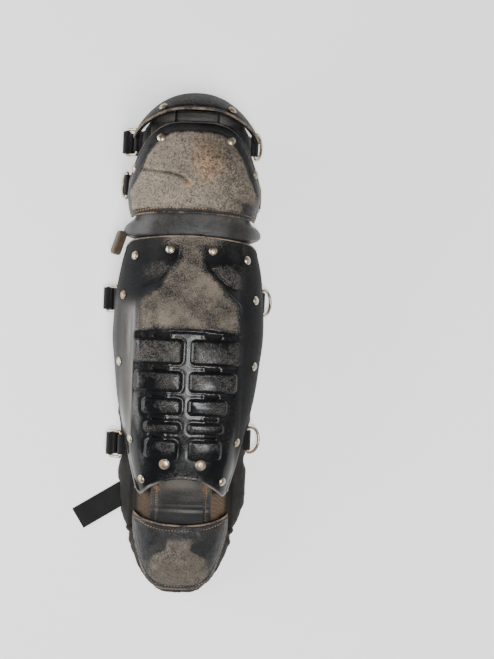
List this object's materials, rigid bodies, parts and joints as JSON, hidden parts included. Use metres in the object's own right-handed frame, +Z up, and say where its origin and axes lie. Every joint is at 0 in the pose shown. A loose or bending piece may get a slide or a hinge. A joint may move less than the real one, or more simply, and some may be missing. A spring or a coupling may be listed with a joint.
{
  "type": "catcher leg guard",
  "caption": "Leg guard for a catcher: thigh plate, knee cap, slotted shin shell and toe cap over padding, with rings and straps.",
  "frame": {"origin": "middle of the bounding box at floor level, with the guard lying face up and its free strap end on the floor", "axes": "+Y along the guard towards the thigh, +Z up out of the shell, +X to the side away from the straps"},
  "size_m": [0.212, 0.5446, 0.0999],
  "materials": {
    "shell_plastic": "moulded gloss black, scratched, scuffed grey-brown in the middle",
    "worn_vinyl": "black vinyl worn grey-brown, dark stitched rim",
    "vinyl": "matte black vinyl with dust",
    "padding": "black cloth over foam, dusty",
    "webbing": "black woven webbing",
    "tan_webbing": "webbing stained tan",
    "nickel": "worn nickel plate"
  },
  "bodies": {
    "root": {"shin_shell": "shell_plastic", "thigh_plate": "shell_plastic", "knee_cap": "worn_vinyl", "toe_cap": "worn_vinyl", "knee_band": "vinyl", "thigh_tab_left": "vinyl", "thigh_tab_right": "vinyl", "thigh_tab_middle": "vinyl", "ankle_tab": "vinyl", "shin_pad": "padding", "knee_pad": "padding", "thigh_pad": "padding", "toe_pad": "padding", "knee_strap": "webbing", "calf_strap": "webbing", "ankle_strap": "webbing", "knee_hook": "nickel", "calf_hook": "nickel", "ankle_hook": "nickel", "keeper_left_3": "tan_webbing", "keeper_left_1": "webbing", "ring_left_1": "nickel", "keeper_left_2": "webbing", "ring_left_2": "nickel", "keeper_left_4": "webbing", "ring_left_4": "nickel", "keeper_left_5": "webbing", "ring_left_5": "nickel", "keeper_right_1": "webbing", "ring_right_1": "nickel", "keeper_right_2": "webbing", "ring_right_2": "nickel", "keeper_right_3": "webbing", "ring_right_3": "nickel", "keeper_right_4": "webbing", "ring_right_4": "nickel", "shin_rivet_left_1": "nickel", "shin_rivet_left_2": "nickel", "shin_rivet_left_3": "nickel", "shin_rivet_left_4": "nickel", "shin_rivet_left_5": "nickel", "shin_rivet_left_6": "nickel", "shin_rivet_left_7": "nickel", "knee_rivet_left_1": "nickel", "knee_rivet_left_2": "nickel", "thigh_rivet_left": "nickel", "shin_rivet_right_1": "nickel", "shin_rivet_right_2": "nickel", "shin_rivet_right_3": "nickel", "shin_rivet_right_4": "nickel", "shin_rivet_right_5": "nickel", "shin_rivet_right_6": "nickel", "shin_rivet_right_7": "nickel", "knee_rivet_right_1": "nickel", "knee_rivet_right_2": "nickel", "thigh_rivet_right": "nickel"}
  },
  "joints": []
}
